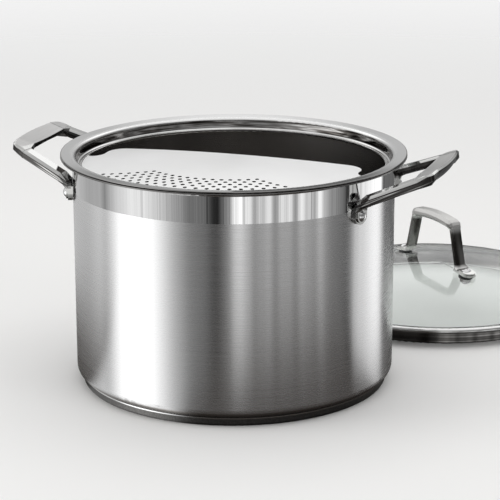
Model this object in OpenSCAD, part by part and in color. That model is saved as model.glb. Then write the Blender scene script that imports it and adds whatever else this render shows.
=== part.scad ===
// Stock pot with two loop handles, a domed drop-in strainer insert and a glass lid.
// Origin at the centre of the pot's foot, handles along X, strainer holes toward -Y, Z up, mm.

/* [Pot] */
// Outside width of the pot's straight wall
pot_d = 240; // [220:1:260]
// Height of the rim above the table
pot_h = 174.3; // [150:0.1:200]
// Thickness of the pot's steel wall
wall_t = 1.2; // [1:0.1:1.6]
// How far the flared rim stands out past the wall
rim_out = 9.1; // [6:0.1:12]
// How much the flared rim climbs from the wall to its edge
rim_climb = 1.1; // [0.6:0.1:1.6]
// Height of the polished band under the rim
band_h = 24; // [16:1:34]
// Outside rounding where the wall turns into the floor
floor_r = 7; // [5:0.5:10]
// Height of the layered base under the floor
base_h = 6.2; // [5:0.1:8]
// How far the base stands back from the wall
base_inset = 5; // [4:0.5:8]

/* [Strainer insert] */
// Thickness of the insert's flange and wall
sheet_t = 1; // [0.8:0.1:1.3]
// Thickness of the domed plate
plate_t = 0.7; // [0.6:0.1:1]
// Depth of the insert's wall below its flange
insert_depth = 8.3; // [7:0.1:12]
// Height of the dome in its middle above the lip
dome_rise = 7.6; // [5:0.1:11]
// Width of the lip between wall and dome
lip_w = 3.7; // [3:0.1:5]
// Width across one strainer hole
hole_d = 3; // [2.2:0.1:3.4]
// Number of curved rows of holes
hole_rows = 7; // [4:1:7]
// Number of holes in the shortest row
first_row_holes = 14; // [8:1:16]
// Distance of the first row from the middle
first_row_r = 74; // [66:1:76]
// Step from one row of holes to the next
row_step = 4.92; // [4.4:0.02:5]
// How far the plate's rear edge stands in front of the middle line
edge_front = 6; // [0:1:16]
// Curve of the plate's rear edge
edge_curve_r = 370; // [300:10:600]
// Width of the two side slots of the opening
ear_w = 13; // [9:0.5:14]
// How far round the side slots run in front of the middle line, in degrees
ear_angle = 6; // [2:1:12]
// Rounding of the plate's two rear corners
corner_r = 9; // [5:0.5:12]

/* [Loop handles] */
// Angle between each handle's middle and its two tabs
tab_angle = 24.3; // [21:0.1:26]
// Width of a tab
tab_w = 12.5; // [11:0.5:15]
// Thickness of a tab
tab_t = 5; // [4:0.5:6]
// Distance of the rivets below the pot's rim
rivet_drop = 27.7; // [27:0.1:38]
// Reach of a handle from the wall to its outer edge
reach = 45; // [40:1:54]
// Height of the grip's outer edge above the rim
grip_rise = 5; // [2:0.5:9]
// Length of the grip between its rounded ends
grip_len = 84; // [78:1:90]
// Width of the grip's sloped top in its middle
grip_w = 16; // [13:0.5:18]
// Width across a rivet's round head
rivet_d = 7.8; // [6.5:0.1:9]

/* [Lid] */
// Gap between the pot's wall and the lid lying beside it
lid_gap = 4.1; // [1.5:0.1:8]
// Direction of the lid beside the pot
lid_dir = 66.4; // [50:0.1:120]
// Depth of the lid's skirt
skirt_h = 11.4; // [8:0.2:16]
// Rise of the glass dome above its edge
glass_rise = 22; // [14:0.2:28]
// Thickness of the glass
glass_t = 3.2; // [2.8:0.1:4]
// Turn of the lid's handle
lid_turn = -41.3; // [-90:0.1:90]
// Distance between the legs of the lid's handle at the glass
lid_leg_gap = 71; // [60:1:76]
// Height of the lid's handle above the middle of the glass
lid_grip_h = 42; // [34:0.2:48]
// Length of the grip of the lid's handle
lid_grip_len = 60; // [52:1:64]

/* [Hidden] */
$fn = 96;
clear_seat = 0.3;      // gap under and round the resting insert
clear_rivet = 0.1;     // gap round the shank of a rivet
clear_tab = 0.05;      // gap between a tab and the wall
clear_glass = 0.1;     // gap round the edge of the glass
R = pot_d / 2;                         // outside of the wall
Ri = R - wall_t;                       // inside of the wall
Rf = R + rim_out;                      // edge of the flared rim
zf = base_h + 0.1;                     // underside of the pot's floor
rim_slope = atan(rim_climb / (rim_out + 1.3));
rim_bend = 2.2;                        // bend between wall and flared rim, inside
band_z = pot_h - band_h;               // lower edge of the polished band
band_step = 0.15;                      // the brushed wall is this much slimmer
base_r = R - base_inset;               // edge of the base
rivet_z = pot_h - rivet_drop;          // height of the rivets

// the insert: flange on the rim, short wall, lip and dome
Rw = Ri - clear_seat;                  // outside of the insert's wall at the top
Rw2 = Rw - 0.8;                        // outside of the insert's wall at the lip
ins_top = pot_h + clear_seat + sheet_t;
z_in = pot_h - rim_climb + clear_seat + sheet_t; // flange top where it meets the wall
lip_z = z_in - insert_depth;           // top of the lip
lip_r = Rw2 - sheet_t - lip_w;         // inside edge of the lip
dome_r = (lip_r * lip_r + dome_rise * dome_rise) / (2 * dome_rise);
dome_c = lip_z + dome_rise - dome_r;   // height of the dome's ball centre
lip_t = sheet_t + 0.8;                 // the lip is folded double
edge_cy = edge_curve_r - edge_front;   // middle of the rear edge's curve
ear_r2 = lip_r - 0.4;                  // outer side of the side slots
ear_r1 = ear_r2 - ear_w;               // inner side of the side slots
ear_m = (ear_r1 + ear_r2) / 2;

// a handle, drawn toward +X and mirrored for the other side
grip_out = R + reach;                  // outer edge of the grip in its middle
grip_top = pot_h + grip_rise + 0.4;    // top of the grip's outer edge
grip_slope = 17;
grip_arc = 2.55 * grip_len;            // curve of the grip's outer edge
grip_turn = asin((grip_len / 2 - 12) / grip_arc);
leg_w = 0.86 * tab_w;                  // width of a leg
leg_t = 7.4;                           // thickness of a leg
tab_in = 1.3;                          // step round the tab's face
grow = 0.3;                            // bends are this much thicker than the bars they join
tab_p = [(R + tab_t / 2) * cos(tab_angle), (R + tab_t / 2) * sin(tab_angle)];
corner_p = [grip_out - 8.7, grip_len / 2 - 5.6];    // middle of the grip's rounded corner
bend_z = rivet_z + 8.9;                // where the tab's and the leg's middle lines meet
leg_e = [grip_out - 12.5, grip_len / 2 - 3.3, pot_h + grip_rise - 7.8];  // end of a leg
leg_k = [tab_p[0], tab_p[1] + 0.7, bend_z];         // knee under the leg
leg_v = leg_e - leg_k;
leg_l = norm(leg_v);
leg_s = leg_k + leg_v * (6.8 / leg_l); // start of the straight leg
leg_tilt = acos(leg_v[2] / leg_l);
leg_turn = atan2(leg_v[1], leg_v[0]);

// the lid, drawn round its own middle with the skirt on the table
lid_R = Rf - 1.6;                      // outside of the lid's rolled edge
lid_away = R + lid_R + lid_gap;        // from the pot's middle to the lid's
bead = 2.2;
bead_r = lid_R - bead;
bead_z = skirt_h + bead;
skirt_r = Ri - 2.2;                    // outside of the skirt, free inside the pot
glass_R = lid_R - 2.9;
edge_z = skirt_h + 1 + glass_t - 0.3;  // top of the glass at its edge
apex_z = edge_z + glass_rise;
glass_ball = (glass_R * glass_R + glass_rise * glass_rise) / (2 * glass_rise);
foot_s = lid_leg_gap / 2 + 9;          // screw from the middle of the lid
foot_tilt = asin(foot_s / glass_ball);
foot_z = apex_z - glass_ball + glass_ball * cos(foot_tilt);
gasket_t = 1;
foot_t = 3;
screw_r = 2.5;

module ring(r1, r2, z1, z2) {
  translate([0, 0, z1]) difference() {
    cylinder(r = r2, h = z2 - z1);
    translate([0, 0, -1]) cylinder(r = r1, h = z2 - z1 + 2);
  }
}

// half profile of the pot's shell from the middle of its floor to the rim
module shell_profile() {
  ft = wall_t - band_step;                         // the wall is slimmer below the band
  fr = floor_r;
  cx = R - band_step - fr;                         // middle of the rounded corner
  bz = pot_h - rim_climb - rim_bend - wall_t;      // top of the straight wall
  // floor
  translate([0, zf]) square([cx, ft]);
  // rounded corner
  translate([cx, zf + fr]) intersection() {
    difference() { circle(r = fr); circle(r = fr - ft); }
    translate([0, -fr - 1]) square([fr + 1, fr + 1]);
  }
  // wall
  translate([Ri, zf + fr]) square([ft, band_z - zf - fr]);
  translate([Ri, band_z]) square([wall_t, bz - band_z]);
  // bend outward, then the flared rim with its rounded edge
  translate([R + rim_bend, bz]) {
    flare_bend(rim_bend, wall_t);
    rotate(rim_slope) {
      translate([0, rim_bend]) square([rim_out - rim_bend - wall_t / 2, wall_t]);
      translate([rim_out - rim_bend - wall_t / 2, rim_bend + wall_t / 2]) circle(r = wall_t / 2);
    }
  }
}

// quarter of a bend from an upright wall to the slope of the flared rim
module flare_bend(r, t) {
  m = r + t + 1;
  intersection() {
    difference() { circle(r = r + t); circle(r = r); }
    polygon([[0, 0], [-m, 0], [-m, m], [-m * tan(rim_slope), m]]);
  }
}

module pot_body() {
  color([0.72, 0.72, 0.74]) difference() {
    rotate_extrude() shell_profile();
    // holes for the four rivets
    for (s = [0, 180]) for (k = [-1, 1]) rotate([0, 0, s + k * tab_angle])
      translate([Ri - 3, 0, rivet_z]) rotate([0, 90, 0])
        cylinder(r = rivet_d * 0.3 + clear_rivet, h = 6);
  }
}

// heat-spreading disc between the floor and the cover below it
module base_core() {
  color([0.8, 0.8, 0.82]) translate([0, 0, 0.8]) cylinder(r = base_r - 2, h = base_h - 0.7);
}

// cover under the base with a rounded lower edge
module base_cap() {
  t = 0.8;
  c = 2;
  color([0.6, 0.6, 0.62]) rotate_extrude() {
    square([base_r - c, t]);
    translate([base_r - c, c]) intersection() {
      difference() { circle(r = c); circle(r = c - t); }
      translate([0, -c - 1]) square([c + 1, c + 1]);
    }
    translate([base_r - t, c]) square([t, base_h - c]);
  }
}

// one rivet along +X, round head outside, flatter head inside
module rivet() {
  hr = rivet_d / 2;
  hh = 2.2;
  br = (hr * hr + hh * hh) / (2 * hh);
  ir = hr + 0.6;
  ih = 1.1;
  ibr = (ir * ir + ih * ih) / (2 * ih);
  x2 = R + tab_t;
  x1 = Ri - 0.25;
  rotate([0, 90, 0]) rotate_extrude() {
    intersection() {
      translate([0, x2 + hh - br]) circle(r = br);
      translate([0, x2]) square([10, 10]);
    }
    translate([0, x1]) square([rivet_d * 0.3, x2 - x1]);
    intersection() {
      translate([0, x1 - ih + ibr]) circle(r = ibr);
      translate([0, x1 - 10]) square([10, 10]);
    }
  }
}

module handle_rivets() {
  color([0.85, 0.85, 0.87])
  for (s = [0, 180]) for (k = [-1, 1]) rotate([0, 0, s + k * tab_angle])
    translate([0, 0, rivet_z]) rivet();
}

// cut across a bar, t thick and w wide, its outer face narrower between two ridges
module bar_cut(t, w) {
  a = t / 2;
  b = w / 2;
  c = 0.26 * t;
  polygon([[-a, -b + c], [-a + c, -b], [a - c, -b], [a, -b + c], [a, b - c], [a - c, b],
    [-a + c, b], [-a, b - c]]);
}

// thin slice of a bar, standing across a direction given by tilt and turn
module slice(p, tilt, turn, t, w) {
  translate(p) rotate([0, tilt, turn]) linear_extrude(0.4, center = true) bar_cut(t, w);
}

// outline of a tab, rounded below
module tab_outline(w, up) {
  circle(d = w);
  translate([-w / 2, 0]) square([w, up]);
}

// one tab with a stepped edge, its back following the wall
module tab() {
  difference() {
    rotate([0, 0, tab_angle]) translate([R - 3, 0, rivet_z]) rotate([90, 0, 90]) {
      linear_extrude(tab_t + 3 - tab_in) tab_outline(tab_w, bend_z - rivet_z - 3.4);
      linear_extrude(tab_t + 3) tab_outline(tab_w - 2 * tab_in, bend_z - rivet_z - 3.4);
    }
    cylinder(r = R + clear_tab, h = pot_h);
    rotate([0, 0, tab_angle]) translate([R - 4, 0, rivet_z]) rotate([0, 90, 0])
      cylinder(r = rivet_d * 0.3 + clear_rivet, h = tab_t + 8);
  }
}

// one leg: bent out of its tab, then straight to the grip's corner
module leg() {
  mid = (leg_k * 2 + [tab_p[0], tab_p[1], bend_z - 5] + leg_s) / 4;
  difference() {
    union() {
      hull() {
        slice([tab_p[0], tab_p[1], bend_z - 5], 0, tab_angle, tab_t + grow, tab_w + grow);
        slice(mid, leg_tilt * 0.52, tab_angle * 0.25, 0.86 * leg_t, 0.93 * tab_w);
      }
      hull() {
        slice(mid, leg_tilt * 0.52, tab_angle * 0.25, 0.83 * leg_t, 0.91 * tab_w);
        slice(leg_s, leg_tilt, leg_turn, leg_t, leg_w);
      }
      translate(leg_s) rotate([0, leg_tilt, leg_turn])
        linear_extrude(leg_l - 7.4) bar_cut(leg_t - grow, leg_w - grow);
    }
    cylinder(r = R + clear_tab, h = pot_h + grip_rise);
  }
}

// cut across the grip: sloped top, tall rounded outer side, thin inner edge
module grip_cut() {
  k = tan(grip_slope);
  intersection() {
    polygon([[grip_out - 1.2, grip_top - 1.2 * k], [grip_out + 1, grip_top - 2.2],
      [grip_out + 1, grip_top - 12], [grip_out - 6, grip_top - 10.2],
      [grip_out - grip_w - 3, grip_top - 5.8], [grip_out - grip_w - 3, grip_top - (grip_w + 3) * k]]);
    translate([grip_out - 11, grip_top - 1.4]) circle(r = 11, $fn = 48);
  }
}

// curved grip between its two corners, its inner edge straight
module grip() {
  difference() {
    translate([grip_out - grip_arc, 0, 0]) rotate([0, 0, -grip_turn])
      rotate_extrude(angle = 2 * grip_turn, $fn = 360)
        translate([grip_arc - grip_out, 0]) grip_cut();
    translate([0, -grip_len, 0]) cube([grip_out - grip_w + 0.8, 2 * grip_len, 2 * pot_h]);
  }
}

// one rounded corner between the grip and a leg
module grip_corner() {
  zc = grip_top - (grip_out - corner_p[0]) * tan(grip_slope);
  hull() {
    translate([grip_out - grip_arc, 0, 0]) rotate([0, 0, grip_turn]) intersection() {
      translate([grip_arc, 0, 0]) rotate([90, 0, 0]) linear_extrude(0.4)
        translate([-grip_out, 0]) offset(delta = grow / 2) grip_cut();
      translate([grip_arc - grip_w + 2.4, -4, 0]) cube([grip_w + 4, 8, 2 * pot_h]);
    }
    slice(leg_e - leg_v * (2 / leg_l), leg_tilt, leg_turn, leg_t, leg_w);
    translate([corner_p[0], corner_p[1], zc]) rotate([0, -grip_slope, 0]) {
      translate([0, 0, -1.2]) cylinder(r1 = 5.8, r2 = 4.8, h = 1.2, $fn = 32);
      translate([0, 0, -5.6]) cylinder(r1 = 5, r2 = 5.8, h = 4.4, $fn = 32);
      translate([-1, -0.6, -8.4]) cylinder(r1 = 2.4, r2 = 4.8, h = 3, $fn = 32);
    }
  }
}

module loop_handle() {
  for (s = [0, 1]) mirror([0, s, 0]) {
    tab();
    leg();
    grip_corner();
  }
  grip();
}

module handle_right() { color([0.78, 0.78, 0.8]) loop_handle(); }
module handle_left() { color([0.78, 0.78, 0.8]) mirror([1, 0, 0]) loop_handle(); }

// half profile of the insert's flange, wall and lip
module insert_profile() {
  b = 1.4;                               // inside radius of both bends
  zb = z_in - b - sheet_t;               // top of the short wall
  // flange lying over the rim
  translate([Rw + b, zb]) {
    flare_bend(b, sheet_t);
    rotate(rim_slope) {
      translate([0, b]) square([rim_out - 0.6, sheet_t]);
      translate([rim_out - 0.6, b + sheet_t / 2]) circle(r = sheet_t / 2);
    }
  }
  // wall leaning in a little
  polygon([[Rw, zb], [Rw - sheet_t, zb], [Rw2 - sheet_t, lip_z + b], [Rw2, lip_z + b]]);
  // rounded turn into the lip
  translate([Rw2 - sheet_t - b, lip_z + b]) intersection() {
    difference() { circle(r = b + sheet_t); circle(r = b); }
    translate([0, -4]) square([4, 4]);
  }
  // folded lip
  translate([lip_r + lip_t / 2, lip_z - lip_t]) square([lip_w - b - lip_t / 2, lip_t]);
  translate([lip_r + lip_t / 2, lip_z - lip_t / 2]) circle(r = lip_t / 2);
}

// dome of one thickness, cut round
module dome(r, t) {
  rotate([0, 0, 90]) rotate_extrude($fn = 144) intersection() {
    translate([0, dome_c]) difference() {
      circle(r = dome_r, $fn = 900);
      circle(r = dome_r - t, $fn = 900);
    }
    translate([0, lip_z - 4]) square([r, dome_rise + 8]);
  }
}

// outline of the opening behind the plate, with a slot along the ring on each side
module opening_plan() {
  rf = corner_r;
  a = edge_curve_r + rf;
  b = ear_r1 - rf;
  cy = (b * b - a * a + edge_cy * edge_cy) / (2 * edge_cy);
  cx = sqrt(b * b - cy * cy);
  u1 = [cx, cy] / b;
  u2 = [-cx, edge_cy - cy] / a;
  intersection() {
    circle(r = ear_r2);
    translate([0, edge_cy]) circle(r = edge_curve_r, $fn = 96);
  }
  for (s = [0, 1]) mirror([s, 0]) {
    intersection() {
      difference() { circle(r = ear_r2); circle(r = ear_r1); }
      polygon([[0, 0], [2 * lip_r, 0.4 * lip_r], [2 * lip_r, -2 * lip_r * tan(ear_angle)]]);
    }
    rotate(-ear_angle) translate([ear_m, 0]) circle(r = ear_w / 2 - 0.25);
    difference() {
      polygon([[cx, cy], [cx, cy] + 1.6 * rf * u1, [cx, cy] + 1.6 * rf * (u1 + u2),
        [cx, cy] + 1.6 * rf * u2]);
      translate([cx, cy]) circle(r = rf - 0.2);
    }
  }
}

// rows of holes on arcs about the pot's middle, each row one hole longer
module hole_fan() {
  pitch = row_step;                     // degrees from hole to hole
  for (k = [0 : hole_rows - 1]) {
    n = first_row_holes + k;
    for (i = [0 : n - 1])
      rotate([0, 0, -90 + (i - (n - 1) / 2) * pitch])
        translate([first_row_r + k * row_step, 0, lip_z - 4])
          cylinder(d = hole_d, h = dome_rise + 8, $fn = 24);
  }
}

module strainer_insert() {
  color([0.8, 0.8, 0.82]) difference() {
    union() {
      rotate_extrude() insert_profile();
      dome(lip_r + 1.2, plate_t);
      // folded rear edge of the plate
      intersection() {
        dome(ear_r1 - 3, plate_t + 0.9);
        translate([0, edge_cy, lip_z - 4])
          ring(edge_curve_r - 2, edge_curve_r + 1.6, 0, dome_rise + 8);
      }
    }
    translate([0, 0, lip_z - 6]) linear_extrude(dome_rise + 12) opening_plan();
    hole_fan();
  }
}

// everything of the lid is drawn in place beside the pot
module at_lid() {
  translate([lid_away * cos(lid_dir), lid_away * sin(lid_dir), 0])
    rotate([0, 0, lid_turn]) children();
}

// frame of one foot of the lid's handle: resting on the glass, tilted with it
module at_foot(s) {
  rotate([0, 0, s * 90 - 90]) translate([foot_s, 0, foot_z]) rotate([0, foot_tilt, 0]) children();
}

module glass_shape(c) {
  rotate_extrude($fn = 144) intersection() {
    translate([0, apex_z - glass_ball]) difference() {
      circle(r = glass_ball + c, $fn = 720);
      circle(r = glass_ball - glass_t - c, $fn = 720);
    }
    translate([0, skirt_h - 6]) square([glass_R + c, 60]);
  }
}

module lid_glass() {
  color([0.75, 0.85, 0.82, 0.5]) at_lid() difference() {
    glass_shape(0);
    for (s = [-1, 1]) at_foot(s) translate([0, 0, -8]) cylinder(r = screw_r + 1.1, h = 12);
    // flat ground edge under the glass
    ring(glass_R - 6, glass_R + 5, skirt_h - 6, skirt_h + 1.1);
  }
}

module lid_rim() {
  color([0.8, 0.8, 0.82]) at_lid() difference() {
    rotate_extrude() {
      translate([bead_r, bead_z]) circle(r = bead);
      translate([skirt_r - 1, skirt_h]) square([bead_r - skirt_r + 1, 1]);
      translate([skirt_r - 1, 0.9]) square([1, skirt_h]);
      translate([skirt_r - 1.1, 0.9]) circle(r = 0.9);
    }
    difference() {
      glass_shape(clear_glass);
      cylinder(r = lid_R, h = skirt_h + 1);
    }
    ring(glass_R - 4, glass_R + clear_glass, skirt_h + 1, edge_z - 0.4);
  }
}

// cut across the lid's grip, its middle at zero: convex top, narrower underside
module lid_grip_cut(w) {
  a = w / 2;
  polygon([[-3.4, 0.72 * a], [-1.4, a], [0.8, a], [3.2, 0.62 * a], [3.2, -0.62 * a], [0.8, -a],
    [-1.4, -a], [-3.4, -0.72 * a]]);
}

module lid_handle() {
  gz = apex_z + lid_grip_h;             // top of the grip in its middle
  arc = 2.6 * lid_grip_len;
  half = lid_grip_len / 2;
  ga = asin((half - 5.5) / arc);
  w = 12.4;                             // width of the grip
  lw = 0.76 * w;                        // width of a leg
  lt = 5.4;                             // thickness of a leg
  low = [lid_leg_gap / 2, 0, foot_z + gasket_t + foot_t + 2.2];
  high = [half - lt / 2 + 0.2, 0, gz - 9];
  v = high - low;
  tilt = atan2(v[0], v[2]);
  color([0.78, 0.78, 0.8]) at_lid() {
    // arched grip
    translate([0, 0, gz - arc]) rotate([90, 0, 0]) rotate([0, 0, 90 - ga])
      rotate_extrude(angle = 2 * ga, $fn = 360) translate([arc - 3.2, 0]) lid_grip_cut(w);
    for (m = [0, 1]) mirror([m, 0, 0]) {
      // rounded corner from the grip down into a leg
      hull() {
        translate([0, 0, gz - arc]) rotate([0, ga, 0]) translate([0, 0, arc - 3.2])
          rotate([0, 90, 0]) rotate([0, 0, 180]) linear_extrude(0.4, center = true)
            offset(delta = grow / 2) lid_grip_cut(w);
        slice(high, tilt, 0, lt + grow, lw + grow);
        slice([half - 3.1, 0, gz - 7], -28, 0, lt + 0.6, lw + 0.9);
        slice([half - 4.2, 0, gz - 5.9], -54, 0, lt + 1, lw + 1.9);
      }
      // leg
      translate(low) rotate([0, tilt, 0]) linear_extrude(norm(v) - 0.1) bar_cut(lt, lw);
      // bend from the leg into its tongue
      hull() {
        slice(low, tilt, 0, lt + grow, lw + grow);
        at_foot(1) translate([-7.4, 0, gasket_t + foot_t / 2 + 0.17]) rotate([0, 90, 0])
          linear_extrude(3) bar_cut(foot_t + grow, 12.6 + grow);
      }
      // tongue with a rounded end, bored for its screw
      at_foot(1) translate([0, 0, gasket_t]) difference() {
        union() {
          linear_extrude(foot_t - 1) lid_tongue(6.3);
          linear_extrude(foot_t) lid_tongue(5.4);
        }
        translate([0, 0, -1]) cylinder(r = screw_r + 0.15, h = foot_t + 2);
      }
    }
  }
}

module lid_tongue(r) {
  translate([-9.8 + 6.3 - r, -r]) square([13.4 - 6.3 + r, 2 * r]);
  translate([3.6, 0]) circle(r = r);
}

// soft pads above and below the glass at each foot, with a sleeve through the bore
module lid_gaskets() {
  color([0.15, 0.15, 0.15]) at_lid() for (s = [-1, 1]) at_foot(s) difference() {
    union() {
      translate([0, 0, 0.12]) cylinder(r = 6, h = gasket_t - 0.14);
      translate([0, 0, -glass_t - gasket_t]) cylinder(r = screw_r + 1, h = glass_t + gasket_t + 0.2);
      translate([0, 0, -glass_t - gasket_t - 0.1]) cylinder(r = 6, h = gasket_t);
    }
    translate([0, 0, -glass_t - 3]) cylinder(r = screw_r + 0.15, h = glass_t + 6);
  }
}

// screws with a low round head and a plain shank
module lid_screws() {
  z = gasket_t + foot_t;
  hr = 4;
  hh = 1.8;
  br = (hr * hr + hh * hh) / (2 * hh);
  color([0.85, 0.85, 0.87]) at_lid() for (s = [-1, 1]) at_foot(s) {
    translate([0, 0, -glass_t - gasket_t - 5]) cylinder(r = screw_r, h = z + glass_t + gasket_t + 5.2);
    difference() {
      intersection() {
        translate([0, 0, z + hh - br]) sphere(r = br);
        translate([-6, -6, z]) cube([12, 12, 6]);
      }
      for (a = [0, 90]) rotate([0, 0, a]) translate([-2, -0.4, z + hh - 0.9]) cube([4, 0.8, 3]);
    }
  }
}

// six-sided nuts under the glass
module lid_nuts() {
  z2 = -glass_t - gasket_t - 0.1;
  color([0.7, 0.7, 0.72]) at_lid() for (s = [-1, 1]) at_foot(s) difference() {
    translate([0, 0, z2 - 3.6]) cylinder(r = 4.6, h = 3.6, $fn = 6);
    translate([0, 0, z2 - 5]) cylinder(r = screw_r + 0.1, h = 7);
  }
}

pot_body();
base_core();
base_cap();
handle_left();
handle_right();
handle_rivets();
strainer_insert();
lid_glass();
lid_rim();
lid_handle();
lid_gaskets();
lid_screws();
lid_nuts();
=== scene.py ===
"""Stock pot with a domed strainer insert and a glass lid beside it, dressed around its frame."""
import math

import bpy
from mathutils import Matrix, Vector

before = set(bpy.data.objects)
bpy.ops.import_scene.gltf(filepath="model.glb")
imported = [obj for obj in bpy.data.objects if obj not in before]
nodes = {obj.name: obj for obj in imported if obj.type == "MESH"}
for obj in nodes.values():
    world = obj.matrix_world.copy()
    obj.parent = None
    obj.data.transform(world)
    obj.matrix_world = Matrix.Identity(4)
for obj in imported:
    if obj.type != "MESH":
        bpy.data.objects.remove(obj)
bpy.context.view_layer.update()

# the pot, in metres
WALL_MID_R = 0.1193      # between the inner and the outer face of the wall
BAND_Z = 0.1503          # lower edge of the polished band
POT_EDGE_R = 0.1274      # the rim has painted shade outside this, at its rounded edge
SEAM_Z = 0.0054          # the base's cover is bright above this, at its seam, and has painted shade below

# the strainer insert
PLATE_R = 0.1128         # the plate is satin inside this, just short of the folded lip
HOLES_R = 0.1071         # upright faces inside this get painted shade, on the walls of the holes
RING_R = 0.1195          # upright faces from PLATE_R out to here have level painted reflection streaks
RING_TOP_Z = 0.1712      # the ring is rougher above this height
RING_TOP_R = 0.1218      # and inside this radius, where it bends into its flange
BEND_R = 0.1199          # middle of that bend
BEND_Z = 0.1721
BEND_END_R = 0.11968     # the bend passes into the flange here
BEND_FACE = 0.0021       # the bend's upper face is farther than this from its middle
FLANGE_EDGE_R = 0.1280   # the flange has painted shade outside this, at its rounded edge

# the loop handles
GRIP_SLOPE = math.radians(17.0)
GRIP_X = 0.148           # the brushed top of the grips lies beyond this
TAB_TOP_Z = 0.1525       # the handles are one plain grey below this, on their tabs, as painted shade
LEG_CLIMB = 0.41         # a leg rises by about this much for each metre outward

# the lid beside the pot
LID_C = (0.10073, 0.23056)
LID_TURN = math.radians(-41.3)
LID_GRIP_Z = 0.0722      # its handle is brushed above this, on the grip
LID_LEG_LOW_Z = 0.0405   # and painted shade with painted reflection streaks between these two heights, on the legs
LID_LEG_HIGH_Z = 0.0685
SKIRT_R = 0.1150         # its edge has painted shade with painted reflection streaks outside this radius
SKIRT_TOP_Z = 0.0128     # and below this height, as on the skirt

# shared by several steels
GRAIN_DEPTH = 0.00005    # bump distance of brushed lines
UPRIGHT = 0.45           # a face is upright where its normal's height is below this
UPRIGHT_SOFT = 0.15
QUARTER_TURN = 0.25      # anisotropic rotation is counted in whole turns

# the photograph's camera, solved from the rim, base and handle points
FOCAL_PX = 2012.304
IMAGE_PX = 500.0
SENSOR_MM = 36.0
VIEW_FROM = Vector((0.479212, -1.378673, 0.510244))
VIEW_RIGHT = Vector((0.94737216, 0.32012925, -0.00180687))
VIEW_DOWN = Vector((0.08535531, -0.25802906, -0.96235933))
VIEW_AHEAD = Vector((-0.30854559, 0.9115582, -0.27177428))
VIEW_TURN = 70.8         # degrees from the camera's side of the pot to the world's +X


def with_alpha(color):
    """A socket as it is, or three numbers as an opaque colour."""
    return color if isinstance(color, bpy.types.NodeSocket) else (*color, 1.0)


def turn_at(degrees):
    """Place of a direction in degrees on a ramp that goes once round."""
    return (degrees + 180.0) / 360.0


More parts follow.
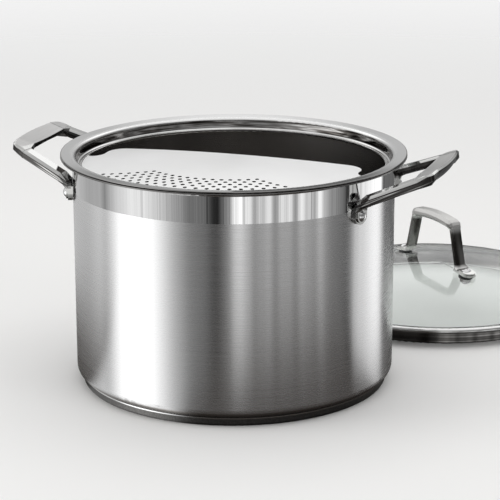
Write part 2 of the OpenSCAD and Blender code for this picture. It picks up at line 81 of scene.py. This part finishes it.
class Graph:
    """Small helper that adds shader nodes and links them."""

    def __init__(self, name, world=None):
        self.owner = world or bpy.data.materials.new(name)
        self.owner.use_nodes = True
        self.tree = self.owner.node_tree
        self.tree.nodes.clear()

    def node(self, kind, **settings):
        n = self.tree.nodes.new(kind)
        for key, value in settings.items():
            setattr(n, key, value)
        return n

    def put(self, socket, value):
        if isinstance(value, bpy.types.NodeSocket):
            self.tree.links.new(value, socket)
        else:
            socket.default_value = value

    def math(self, op, a, b=0.0, c=None):
        n = self.node("ShaderNodeMath", operation=op)
        self.put(n.inputs[0], a)
        self.put(n.inputs[1], b)
        if c is not None:
            self.put(n.inputs[2], c)
        return n.outputs[0]

    def vec(self, op, a, b=(0, 0, 0), out=0):
        n = self.node("ShaderNodeVectorMath", operation=op)
        self.put(n.inputs[0], a)
        self.put(n.inputs[3 if op == "SCALE" else 1], b)
        return n.outputs[out]

    def place(self):
        return self.node("ShaderNodeTexCoord").outputs["Object"]

    def split(self, vector):
        n = self.node("ShaderNodeSeparateXYZ")
        self.put(n.inputs[0], vector)
        return n.outputs

    def join(self, x, y, z):
        n = self.node("ShaderNodeCombineXYZ")
        for s, v in zip(n.inputs, (x, y, z)):
            self.put(s, v)
        return n.outputs[0]

    def noise(self, vector, scale=1.0, detail=2.0, rough=0.5):
        n = self.node("ShaderNodeTexNoise")
        self.put(n.inputs["Vector"], vector)
        n.inputs["Scale"].default_value = scale
        n.inputs["Detail"].default_value = detail
        n.inputs["Roughness"].default_value = rough
        return n.outputs["Fac"]

    def hypot(self, x, y):
        """Square root of x squared plus y squared."""
        return self.math("SQRT", self.math("ADD", self.math("MULTIPLY", x, x),
                                           self.math("MULTIPLY", y, y)))

    def turn(self, x, y):
        """Direction round the pot, placed on a ramp as turn_at places degrees."""
        return self.math("ADD", self.math("DIVIDE", self.math("ARCTAN2", y, x), 2.0 * math.pi), 0.5)

    def scaled(self, value, by, plus):
        """Value times one number plus another."""
        return self.math("ADD", self.math("MULTIPLY", value, by), plus)

    def ramp(self, fac, stops):
        """Grey or coloured stops, read straight from one to the next."""
        n = self.node("ShaderNodeValToRGB")
        e = n.color_ramp.elements
        while len(e) > 1:
            e.remove(e[-1])
        for i, (at, col) in enumerate(stops):
            el = e[0] if i == 0 else e.new(at)
            el.position = at
            c = col if isinstance(col, tuple) else (col, col, col)
            el.color = (*c, 1.0)
        self.put(n.inputs[0], fac)
        return n.outputs["Color"]

    def step(self, value, edge, soft):
        """0 below edge, 1 above it."""
        n = self.node("ShaderNodeMapRange", interpolation_type="SMOOTHSTEP")
        self.put(n.inputs["Value"], value)
        n.inputs["From Min"].default_value = edge - soft
        n.inputs["From Max"].default_value = edge + soft
        return n.outputs[0]

    def below(self, value, edge, soft):
        """1 below edge, 0 above it."""
        return self.math("SUBTRACT", 1.0, self.step(value, edge, soft))

    def bump(self, height, strength, distance):
        n = self.node("ShaderNodeBump")
        n.inputs["Strength"].default_value = strength
        n.inputs["Distance"].default_value = distance
        self.put(n.inputs["Height"], height)
        return n.outputs[0]

    def mix(self, fac, a, b):
        n = self.node("ShaderNodeMixShader")
        self.put(n.inputs[0], fac)
        self.tree.links.new(a, n.inputs[1])
        self.tree.links.new(b, n.inputs[2])
        return n.outputs[0]

    def mix_rgb(self, fac, a, b):
        n = self.node("ShaderNodeMix", data_type="RGBA")
        self.put(n.inputs[0], fac)
        self.put(n.inputs[6], with_alpha(a))
        self.put(n.inputs[7], with_alpha(b))
        return n.outputs[2]

    def metal(self, color, rough, aniso=0.0, tangent=None, normal=None, rotation=0.0):
        n = self.node("ShaderNodeBsdfPrincipled")
        n.inputs["Metallic"].default_value = 1.0
        self.put(n.inputs["Base Color"], with_alpha(color))
        self.put(n.inputs["Roughness"], rough)
        n.inputs["Anisotropic"].default_value = aniso
        n.inputs["Anisotropic Rotation"].default_value = rotation
        if tangent is not None:
            self.tree.links.new(tangent, n.inputs["Tangent"])
        if normal is not None:
            self.tree.links.new(normal, n.inputs["Normal"])
        return n.outputs[0]

    def around(self):
        """Tangent that runs round the pot's own axis."""
        n = self.node("ShaderNodeTangent", direction_type="RADIAL", axis="Z")
        return n.outputs[0]

    def background(self, color, strength):
        n = self.node("ShaderNodeBackground")
        self.put(n.inputs["Color"], with_alpha(color))
        n.inputs["Strength"].default_value = strength
        return n.outputs[0]

    def out(self, shader):
        n = self.node("ShaderNodeOutputMaterial")
        self.tree.links.new(shader, n.inputs["Surface"])
        return self.owner


def fine_lines(g, p, scale):
    """Fine lines: p stretched by scale on each axis, then noise."""
    return g.noise(g.vec("MULTIPLY", p, scale), 1.0, 3.0, 0.6)


def pot_steel():
    """Brushed wall; polished band under the rim with painted reflection streaks and painted shade;
    inside darker with painted shade; painted shade on the rim's rounded edge.
    """
    g = Graph("pot_steel")
    p = g.place()
    x, y, z = g.split(p)
    r = g.hypot(x, y)
    lines = fine_lines(g, p, (6.0, 6.0, 1500.0))
    tint = g.ramp(lines, [(0.25, (0.73, 0.73, 0.735)), (0.75, (0.79, 0.79, 0.79))])
    norm = g.bump(lines, 0.015, GRAIN_DEPTH)
    brushed = g.metal(tint, g.scaled(lines, 0.10, 0.22), 0.97, g.around(), norm, QUARTER_TURN)
    smudge = g.noise(p, 22.0, 3.0)
    # the band: painted reflection streaks, upright, weak at the front left, where painted shade
    # lies too
    around = g.join(g.math("DIVIDE", x, r), g.math("DIVIDE", y, r), 0.0)
    band_reflections = g.ramp(fine_lines(g, around, (21.0, 21.0, 1.0)), [
        (0.36, 0.40), (0.42, 0.86), (0.50, 0.74), (0.55, 0.92), (0.60, 0.62), (0.66, 0.95)])
    turn = g.turn(x, y)
    lively = g.ramp(turn, [(0.0, 0.4), (0.19, 0.22), (0.27, 1.0), (0.40, 1.0), (0.50, 0.5)])
    band_reflections = g.mix_rgb(lively, (0.82, 0.82, 0.82), band_reflections)
    # painted shade on the band at the front left
    painted_front_shade = g.ramp(turn, [
        (0.10, 0.95), (0.155, 0.56), (0.19, 0.42), (0.225, 0.48), (0.27, 0.95)])
    polished = g.metal(g.vec("MULTIPLY", band_reflections, painted_front_shade), g.scaled(smudge, 0.04, 0.04))
    # painted shade: the inside is the same steel as the wall, made darker
    inner_tint = g.ramp(lines, [(0.3, (0.38, 0.36, 0.345)), (0.7, (0.46, 0.44, 0.42))])
    inner = g.metal(inner_tint, 0.24, 0.9, g.around(), norm, QUARTER_TURN)
    high = g.step(z, BAND_Z, 0.00012)
    inside = g.below(r, WALL_MID_R, 0.0003)
    # painted shade on the rim's rounded edge
    edge = g.metal((0.22, 0.215, 0.21), g.scaled(smudge, 0.04, 0.08))
    outer = g.mix(high, brushed, g.mix(g.step(r, POT_EDGE_R, 0.0004), polished, edge))
    return g.out(g.mix(inside, outer, inner))


def insert_steel():
    """Satin plate with painted shade on the walls of its holes; a polished ring with painted
    reflection streaks, and a flange with painted shade on its rounded edge.
    """
    g = Graph("insert_steel")
    p = g.place()
    x, y, z = g.split(p)
    flat = g.node("ShaderNodeNewGeometry").outputs["Normal"]
    nz = g.math("ABSOLUTE", g.split(flat)[2])
    r = g.hypot(x, y)
    lines = fine_lines(g, p, (1100.0, 14.0, 14.0))
    cloud = g.noise(p, 16.0, 3.0)
    tint = g.ramp(cloud, [(0.3, (0.85, 0.85, 0.845)), (0.7, (0.91, 0.91, 0.91))])
    plate = g.metal(tint, g.scaled(lines, 0.08, 0.34), 0.3, None, g.bump(lines, 0.04, GRAIN_DEPTH))
    # painted shade on the walls of the holes
    dark = g.metal((0.03, 0.028, 0.026), g.scaled(cloud, 0.1, 0.5))
    holes = g.math("MULTIPLY", g.below(nz, UPRIGHT, UPRIGHT_SOFT), g.below(r, HOLES_R, 0.0002))
    plate = g.mix(holes, plate, dark)
    # painted reflection streaks, level, round the ring's short wall
    around = g.join(g.math("DIVIDE", x, r), g.math("DIVIDE", y, r), z)
    q = g.vec("MULTIPLY", around, (2.6, 2.6, 330.0))
    ring_reflection_streaks = g.ramp(g.noise(q, 1.0, 1.5, 0.5), [
        (0.34, (0.03, 0.026, 0.024)), (0.44, (0.16, 0.15, 0.14)), (0.50, (0.62, 0.61, 0.60)),
        (0.55, (0.28, 0.27, 0.26)), (0.64, (0.88, 0.88, 0.87))])
    bend = g.math("MULTIPLY", g.step(z, RING_TOP_Z, 0.0012), g.below(r, RING_TOP_R, 0.0008))
    # the bend's own round normal in place of its facets
    dr = g.math("SUBTRACT", r, BEND_R)
    dz = g.math("SUBTRACT", z, BEND_Z)
    off = g.hypot(dr, dz)
    turned = g.math("MULTIPLY", g.step(dz, 0.0, 0.00005), g.below(r, BEND_END_R, 0.00004))
    turned = g.math("MULTIPLY", turned, g.step(off, BEND_FACE, 0.0001))
    ratio = g.math("DIVIDE", dr, r)
    outward = g.join(g.math("MULTIPLY", x, ratio), g.math("MULTIPLY", y, ratio), dz)
    curved = g.vec("NORMALIZE", outward)
    smooth = g.vec("ADD", flat, g.vec("SCALE", g.vec("SUBTRACT", curved, flat), turned))
    wall = g.below(g.math("ABSOLUTE", g.split(smooth)[2]), UPRIGHT, UPRIGHT_SOFT)
    ring = g.math("MULTIPLY", wall, g.below(r, RING_R, 0.0003))
    # painted shade on the flange's rounded edge
    top = g.mix_rgb(g.step(r, FLANGE_EDGE_R, 0.0003), (0.84, 0.84, 0.835), (0.30, 0.295, 0.29))
    rough = g.math("ADD", g.math("MULTIPLY", bend, 0.16), g.math("MULTIPLY", cloud, 0.12))
    shine = g.metal(g.mix_rgb(ring, top, ring_reflection_streaks), rough, 0.0, None, smooth)
    return g.out(g.mix(g.step(r, PLATE_R, 0.0004), plate, shine))


def cast_polish(g, p, tint):
    """Polished cast steel, a little uneven."""
    cast = g.noise(p, 60.0, 3.0)
    return g.metal(tint, g.scaled(cast, 0.06, 0.06), 0.0, None, g.bump(cast, 0.02, 0.0004))


def handle_steel():
    """Grip brushed on top; the rest polished, steel grey on top and painted shade with light
    painted reflection streaks at the sides; tabs one plainer grey, also painted shade."""
    g = Graph("handle_steel")
    p = g.place()
    x, y, z = g.split(p)
    nx, _, nz = g.split(g.node("ShaderNodeNewGeometry").outputs["Normal"])
    out = g.math("ABSOLUTE", x)
    side = g.math("SIGN", x)
    # face is 1 where the normal stands square on the grip's slope
    inward = g.math("MULTIPLY", g.math("MULTIPLY", nx, side), -math.sin(GRIP_SLOPE))
    face = g.math("ADD", inward, g.math("MULTIPLY", nz, math.cos(GRIP_SLOPE)))
    top = g.math("MULTIPLY", g.step(face, 0.985, 0.006), g.step(out, GRIP_X, 0.001))
    lines = fine_lines(g, p, (1500.0, 30.0, 600.0))
    brushed = g.metal(g.ramp(lines, [(0.3, (0.47, 0.465, 0.46)), (0.7, (0.57, 0.565, 0.56))]),
                      g.scaled(lines, 0.15, 0.3), 0.5, None, g.bump(lines, 0.06, GRAIN_DEPTH))
    # the painted reflection streaks run along a leg, so their height is counted from its slope
    rise = g.math("SUBTRACT", z, g.math("MULTIPLY", out, LEG_CLIMB))
    painted_streaks = g.noise(g.join(g.math("MULTIPLY", x, 6.0), g.math("MULTIPLY", y, 40.0),
                           g.math("MULTIPLY", rise, 420.0)), 1.0, 1.0)
    # painted shade at the sides, with light painted reflection streaks
    dark = g.ramp(painted_streaks, [(0.40, (0.025, 0.023, 0.022)), (0.52, (0.06, 0.058, 0.056)),
                          (0.57, (0.45, 0.45, 0.44)), (0.61, (0.06, 0.058, 0.056))])
    # faces that look up keep steel grey; the sides get the painted shade
    tint = g.mix_rgb(g.step(nz, 0.60, 0.25), dark, (0.66, 0.66, 0.65))
    # painted shade on the tabs, one plain grey
    tint = g.mix_rgb(g.below(z, TAB_TOP_Z, 0.002), tint, (0.42, 0.42, 0.41))
    return g.out(g.mix(top, cast_polish(g, p, tint), brushed))


def lid_handle_steel():
    """Brushed grip on polished legs with painted shade and painted reflection streaks between
    two heights; the legs are a lighter steel grey at both ends.
    """
    g = Graph("lid_handle_steel")
    p = g.place()
    z = g.split(p)[2]
    u = (math.cos(LID_TURN), math.sin(LID_TURN), 0.0)
    w = (-u[1], u[0], 0.0)
    across = g.vec("DOT_PRODUCT", p, w, out=1)
    along = g.vec("DOT_PRODUCT", p, u, out=1)
    lines = fine_lines(g, g.join(along, across, z), (25.0, 1700.0, 1700.0))
    brushed = g.metal(g.ramp(lines, [(0.3, (0.58, 0.575, 0.56)), (0.7, (0.68, 0.675, 0.66))]),
                      g.scaled(lines, 0.12, 0.32), 0.4, None, g.bump(lines, 0.05, GRAIN_DEPTH))
    painted_streaks = g.noise(g.vec("MULTIPLY", p, (150.0, 150.0, 6.0)), 1.0, 0.0)
    # painted shade on the legs, with painted reflection streaks
    dark = g.ramp(painted_streaks, [(0.36, (0.04, 0.037, 0.034)), (0.50, (0.12, 0.118, 0.11)),
                          (0.66, (0.24, 0.238, 0.23))])
    # the legs' ends keep a lighter steel grey
    ends = g.math("MAXIMUM", g.below(z, LID_LEG_LOW_Z, 0.0015), g.step(z, LID_LEG_HIGH_Z, 0.0025))
    polished = cast_polish(g, p, g.mix_rgb(ends, dark, (0.70, 0.70, 0.685)))
    return g.out(g.mix(g.step(z, LID_GRIP_Z, 0.0006), polished, brushed))


def rim_steel():
    """Polished edge of the lid; its skirt darker with painted shade and level painted reflection
    streaks.
    """
    g = Graph("rim_steel")
    p = g.place()
    z = g.split(p)[2]
    spots = g.noise(p, 60.0, 3.0)
    level = g.vec("MULTIPLY", g.vec("SUBTRACT", p, (*LID_C, 0.0)), (1.0, 1.0, 0.0))
    off = g.vec("LENGTH", level, out=1)
    skirt = g.math("MULTIPLY", g.step(off, SKIRT_R, 0.0004), g.below(z, SKIRT_TOP_Z, 0.0008))
    # painted shade with level painted reflection streaks on the skirt
    painted_skirt_streaks = g.ramp(g.noise(g.vec("MULTIPLY", p, (3.0, 3.0, 420.0)), 1.0, 2.0), [
        (0.38, (0.05, 0.047, 0.044)), (0.52, (0.16, 0.155, 0.15)), (0.60, (0.42, 0.41, 0.40)),
        (0.66, (0.14, 0.135, 0.13))])
    tint = g.mix_rgb(skirt, (0.86, 0.86, 0.85), painted_skirt_streaks)
    return g.out(g.metal(tint, g.scaled(spots, 0.06, 0.06), 0.0, None,
                         g.bump(spots, 0.02, 0.0003)))


def plain_metal(name, color, rough, grain):
    """One metal with slight spots."""
    g = Graph(name)
    spots = g.noise(g.place(), grain, 3.0)
    tint = g.ramp(spots, [(0.3, tuple(c * 0.93 for c in color)), (0.7, color)])
    return g.out(g.metal(tint, g.scaled(spots, 0.08, rough), 0.0, None,
                         g.bump(spots, 0.02, 0.0003)))


def base_steel():
    """Dull cover of the base, dark with painted shade, with a bright seam at its top."""
    g = Graph("base_steel")
    p = g.place()
    z = g.split(p)[2]
    fine = g.noise(p, 900.0, 2.0)
    lines = fine_lines(g, p, (9.0, 9.0, 2600.0))
    # painted shade: the dark tint of the cover; its roughness is the dull finish
    dull_and_shaded = g.metal(g.ramp(fine, [(0.3, (0.11, 0.108, 0.105)), (0.7, (0.18, 0.177, 0.173))]),
                   g.scaled(lines, 0.15, 0.38), 0.4, g.around(), g.bump(fine, 0.12, 0.0001),
                   QUARTER_TURN)
    bright = g.metal((0.75, 0.75, 0.75), g.scaled(lines, 0.1, 0.12))
    return g.out(g.mix(g.step(z, SEAM_Z, 0.0002), dull_and_shaded, bright))


def clear_glass():
    """Clear glass, slightly wavy, that lets lamplight through."""
    g = Graph("clear_glass")
    n = g.node("ShaderNodeBsdfPrincipled")
    n.inputs["Base Color"].default_value = (0.965, 0.985, 0.975, 1.0)
    n.inputs["Roughness"].default_value = 0.0
    n.inputs["IOR"].default_value = 1.5
    n.inputs["Transmission Weight"].default_value = 1.0
    g.put(n.inputs["Normal"], g.bump(g.noise(g.place(), 9.0, 1.0), 0.02, 0.0005))
    clear = g.node("ShaderNodeBsdfTransparent")
    clear.inputs["Color"].default_value = (0.93, 0.97, 0.95, 1.0)
    shadow = g.node("ShaderNodeLightPath").outputs["Is Shadow Ray"]
    return g.out(g.mix(shadow, n.outputs[0], clear.outputs[0]))


def dark_rubber():
    """Dull dark rubber with a fine grain."""
    g = Graph("dark_rubber")
    grain = g.noise(g.place(), 700.0, 2.0)
    n = g.node("ShaderNodeBsdfPrincipled")
    g.put(n.inputs["Base Color"], g.ramp(grain, [(0.3, 0.018), (0.7, 0.035)]))
    g.put(n.inputs["Roughness"], g.scaled(grain, 0.2, 0.5))
    g.put(n.inputs["Normal"], g.bump(grain, 0.1, 0.0001))
    return g.out(n.outputs[0])


def assign(name, material):
    """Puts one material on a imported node."""
    o = nodes[name]
    if not o.material_slots:
        o.data.materials.append(material)
    for s in o.material_slots:
        s.material = material


handle_mat = handle_steel()
rivet_mat = plain_metal("rivet_steel", (0.78, 0.78, 0.78), 0.10, 120.0)
assign("pot_body", pot_steel())
assign("base_core", plain_metal("core_aluminium", (0.72, 0.72, 0.74), 0.3, 200.0))
assign("base_cap", base_steel())
assign("handle_left", handle_mat)
assign("handle_right", handle_mat)
assign("handle_rivets", rivet_mat)
assign("strainer_insert", insert_steel())
assign("lid_glass", clear_glass())
assign("lid_rim", rim_steel())
assign("lid_handle", lid_handle_steel())
assign("lid_gaskets", dark_rubber())
assign("lid_screws", rivet_mat)
assign("lid_nuts", rivet_mat)


def studio_floor():
    """Pale floor that fades out far away; metal sees a painted shade, a dark patch, close to the
    pot and, beyond it, the room's panels in place of the floor."""
    mesh = bpy.data.meshes.new("floor")
    half = 4.0
    corners = [(-half, -half, 0), (half, -half, 0), (half, half, 0), (-half, half, 0)]
    mesh.from_pydata(corners, [], [(0, 1, 2, 3)])
    o = bpy.data.objects.new("floor", mesh)
    bpy.context.scene.collection.objects.link(o)
    g = Graph("floor_pale")
    pale = g.node("ShaderNodeBsdfDiffuse")
    pale.inputs["Color"].default_value = (0.88, 0.875, 0.865, 1.0)
    clear = g.node("ShaderNodeBsdfTransparent")
    shade = g.node("ShaderNodeBsdfDiffuse")
    shade.inputs["Color"].default_value = (0.075, 0.066, 0.060, 1.0)
    p = g.place()
    x, y, _ = g.split(p)
    away = g.vec("LENGTH", p, out=1)
    # how far the painted shade patch reaches, by direction: nowhere at the front left, farthest at
    # the front right; 0 to 1 on the ramp stands for -0.05 to 0.40 m from the middle of the pot
    reach = g.ramp(g.turn(x, y), [(turn_at(deg), value) for deg, value in (
        (-180, 0.78), (-152, 0.78), (-139, 0.0), (-99, 0.0), (-88, 0.55), (-78, 0.80), (-60, 0.86),
        (-40, 0.97), (-12, 0.97), (-2, 0.70), (6, 0.50), (38, 0.50), (60, 0.78), (180, 0.78))])
    reach = g.math("MULTIPLY_ADD", reach, 0.45, -0.05)
    past = g.step(g.math("SUBTRACT", away, reach), 0.0, 0.15)
    near = g.mix(past, shade.outputs[0], clear.outputs[0])
    path = g.node("ShaderNodeLightPath").outputs
    # a ray that came through glass also counts as glossy and is left out here
    not_glass = g.math("SUBTRACT", 1.0, path["Is Transmission Ray"])
    glossy = g.math("MULTIPLY", path["Is Glossy Ray"], not_glass)
    faded = g.mix(g.step(away, 1.3, 0.8), pale.outputs[0], clear.outputs[0])
    o.data.materials.append(g.out(g.mix(glossy, faded, near)))


def studio_world():
    """Pale background; metal sees soft upright light and dark panels round the room."""
    world = bpy.data.worlds.new("studio")
    bpy.context.scene.world = world
    g = Graph("studio", world)
    x, y, z = g.split(g.node("ShaderNodeTexCoord").outputs["Generated"])
    turn = g.math("ADD", g.math("DEGREES", g.math("ARCTAN2", y, x)), VIEW_TURN)
    turn = g.math("WRAP", turn, 180.0, -180.0)
    fac = g.math("DIVIDE", g.math("ADD", turn, 180.0), 360.0)
    # below the horizon: bright and dark panels, by direction from the camera's side
    panels = g.ramp(fac, [(turn_at(deg), value) for deg, value in (
        (-180, 0.36), (-125, 0.38), (-108, 0.52), (-103.5, 0.34), (-98, 0.60), (-88, 1.12),
        (-78, 1.38), (-66, 1.30), (-56, 0.90), (-44, 0.40), (-32, 0.14), (-20, 0.11), (-15, 0.02),
        (-11, 0.01), (-7, 0.13), (-3, 0.22), (0, 0.70), (5, 0.70), (8, 0.38), (14, 0.29),
        (66, 0.31), (71, 0.14), (84, 0.08), (86, 0.01), (90, 0.02), (92, 0.46), (104, 0.58),
        (118, 0.88), (127, 0.92), (131, 0.10), (180, 0.08))])
    # slats across the panels at the right, from two waves
    wide = g.math("SINE", g.math("MULTIPLY", g.math("SUBTRACT", turn, 5.5), 0.465))
    narrow = g.math("SINE", g.math("MULTIPLY", turn, 0.83))
    wave = g.math("ADD", g.math("MULTIPLY", wide, 0.65), g.math("MULTIPLY", narrow, 0.55))
    blinds = g.math("MULTIPLY", g.step(turn, 10.0, 3.0), g.below(turn, 68.0, 3.0))
    slats = g.math("MULTIPLY", g.math("MULTIPLY", wave, blinds), 0.13)
    panels = g.vec("ADD", panels, g.join(slats, slats, slats))
    # at the right they are lighter at the height that the pot's upright wall mirrors
    level = g.math("MULTIPLY", g.step(z, -0.36, 0.03), g.below(z, -0.16, 0.03))
    right = g.math("MULTIPLY", g.step(turn, 4.0, 3.0), g.below(turn, 84.0, 6.0))
    lift = g.math("ADD", 1.0, g.math("MULTIPLY", g.math("MULTIPLY", level, right), 0.55))
    panels = g.vec("SCALE", panels, lift)
    # above the horizon: a plainer room, by direction and, behind the pot, by height
    wall = g.ramp(fac, [(turn_at(deg), value) for deg, value in (
        (-180, 0.50), (-165, 0.60), (-130, 0.60), (-90, 0.50), (-60, 0.42), (-20, 0.12), (0, 0.16),
        (40, 0.10), (100, 0.16), (140, 0.22), (160, 0.30), (172, 0.42), (180, 0.50))])
    rise = g.ramp(z, [(0.0, 0.05), (0.10, 0.10), (0.17, 0.31), (0.27, 0.33), (0.34, 0.32),
                      (0.39, 0.46), (0.46, 0.80), (0.60, 0.90), (0.80, 0.62)])
    wall = g.mix_rgb(g.step(g.math("ABSOLUTE", turn), 125.0, 25.0), wall, rise)
    panels = g.mix_rgb(g.step(z, 0.06, 0.12), panels, wall)
    # a plain ceiling, and darker straight down
    seen = g.mix_rgb(g.step(z, 0.72, 0.20), panels, (0.56, 0.56, 0.56))
    steep = g.step(g.math("MULTIPLY", z, -1.0), 0.55, 0.25)
    kept = g.math("SUBTRACT", 1.0, g.math("MULTIPLY", steep, 0.55))
    seen = g.mix_rgb(kept, (0.05, 0.047, 0.044), seen)
    glossy = g.background(seen, 1.6)
    pale = g.background((0.90, 0.90, 0.90), 1.0)
    soft = g.background((0.62, 0.62, 0.62), 1.0)
    path = g.node("ShaderNodeLightPath").outputs
    see = g.math("MAXIMUM", path["Is Camera Ray"], path["Is Transmission Ray"])
    lit = g.mix(path["Is Glossy Ray"], soft, glossy)
    n = g.node("ShaderNodeOutputWorld")
    g.put(n.inputs["Surface"], g.mix(see, lit, pale))


def soft_lamp(name, at, aim, width, height, watts):
    """Area lamp that isn't seen in steel or through glass."""
    lamp = bpy.data.lights.new(name, "AREA")
    lamp.shape = "RECTANGLE"
    lamp.size = width
    lamp.size_y = height
    lamp.energy = watts
    o = bpy.data.objects.new(name, lamp)
    bpy.context.scene.collection.objects.link(o)
    o.location = at
    o.rotation_euler = (Vector(aim) - Vector(at)).to_track_quat("-Z", "Y").to_euler()
    o.visible_glossy = False
    o.visible_transmission = False


def photo_camera():
    """The photograph's own view."""
    cam = bpy.data.cameras.new("photo_camera")
    cam.sensor_width = SENSOR_MM
    cam.lens = FOCAL_PX / IMAGE_PX * SENSOR_MM
    cam.clip_end = 50.0
    o = bpy.data.objects.new("photo_camera", cam)
    bpy.context.scene.collection.objects.link(o)
    m = Matrix((VIEW_RIGHT, -VIEW_DOWN, -VIEW_AHEAD)).transposed().to_4x4()
    m.translation = VIEW_FROM
    o.matrix_world = m
    bpy.context.scene.camera = o


studio_floor()
studio_world()
soft_lamp("overhead", (0.1, 0.2, 1.6), (0.0, 0.05, 0.1), 1.6, 1.6, 9.0)
soft_lamp("left_window", (-1.6, -0.8, 0.9), (0.0, 0.0, 0.12), 1.0, 1.2, 9.0)
soft_lamp("right_fill", (1.5, -0.6, 0.8), (0.05, 0.0, 0.1), 0.8, 1.0, 4.0)
photo_camera()
bpy.context.scene.view_settings.view_transform = "Standard"
